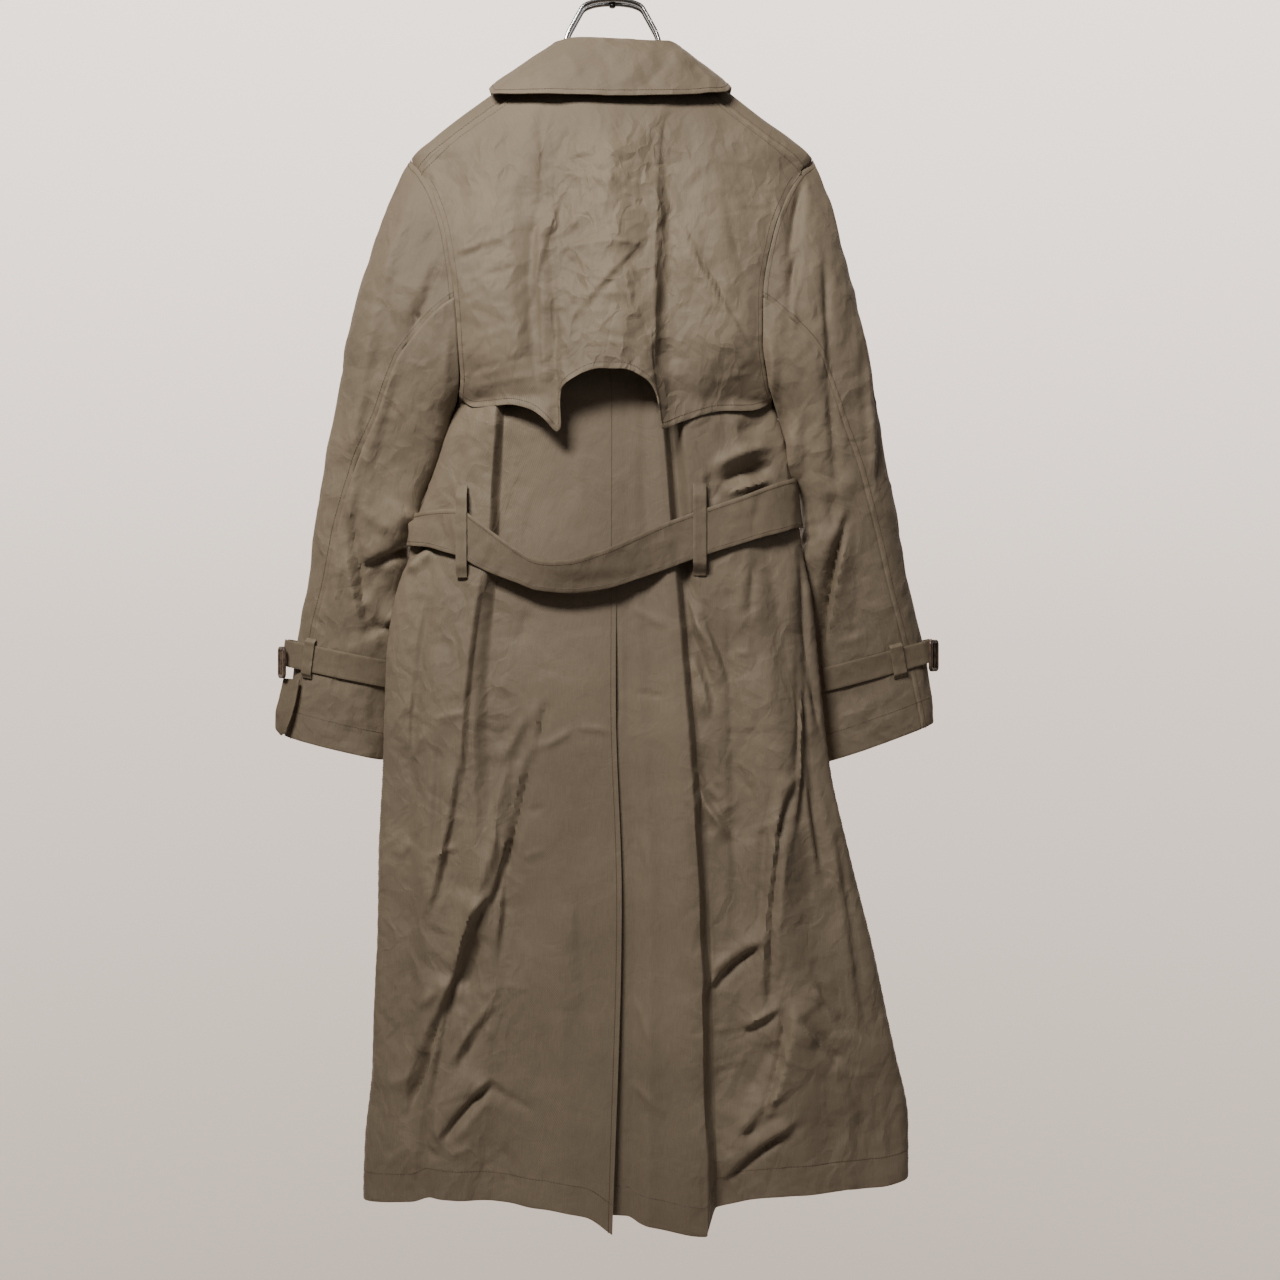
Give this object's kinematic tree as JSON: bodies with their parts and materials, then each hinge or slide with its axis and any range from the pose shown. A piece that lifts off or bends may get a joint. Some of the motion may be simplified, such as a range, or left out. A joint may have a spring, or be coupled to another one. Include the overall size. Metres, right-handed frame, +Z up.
{
  "type": "trench coat on wall hook",
  "caption": "Long belted trench coat seen from behind, on a double-wire hanger that hangs from a wall hook; hollow cloth pieces with open neck, cuffs, hem and back vent.",
  "frame": {"origin": "middle of the wall plate's rear face, where the hook is screwed to the wall", "axes": "+Z up, +Y into the wall, so the coat's back faces -Y and its left side is towards -X"},
  "size_m": [0.687, 0.1528, 1.3373],
  "materials": {
    "coat_cloth": "matt khaki gabardine",
    "belt_cloth": "matt khaki gabardine",
    "buckle": "dark brown covered",
    "button": "brown horn look",
    "chrome_wire": "polished",
    "boss": "dark plated",
    "wall_hook": "satin"
  },
  "bodies": {
    "root": {"back_left": "coat_cloth", "back_right": "coat_cloth", "belt": "belt_cloth", "belt_buckle": "buckle", "belt_loop_left": "belt_cloth", "belt_loop_right": "belt_cloth", "collar_fall": "coat_cloth", "collar_stand": "coat_cloth", "cuff_buckle_left": "buckle", "cuff_buckle_right": "buckle", "cuff_keeper_left": "belt_cloth", "cuff_keeper_right": "belt_cloth", "cuff_strap_end_left": "belt_cloth", "cuff_strap_left": "belt_cloth", "cuff_strap_right": "belt_cloth", "front_button_1": "button", "front_button_2": "button", "front_button_3": "button", "front_button_4": "button", "front_button_5": "button", "front_button_6": "button", "front_left": "coat_cloth", "front_right": "coat_cloth", "hanger_boss": "boss", "hanger_hook": "chrome_wire", "hanger_wire": "chrome_wire", "lapel_left": "coat_cloth", "lapel_right": "coat_cloth", "sleeve_under_left": "coat_cloth", "sleeve_under_right": "coat_cloth", "sleeve_upper_left": "coat_cloth", "sleeve_upper_right": "coat_cloth", "storm_flap": "coat_cloth", "wall_plate": "wall_hook", "wall_rod": "wall_hook", "wall_screw_lower": "wall_hook", "wall_screw_upper": "wall_hook"}
  },
  "joints": []
}
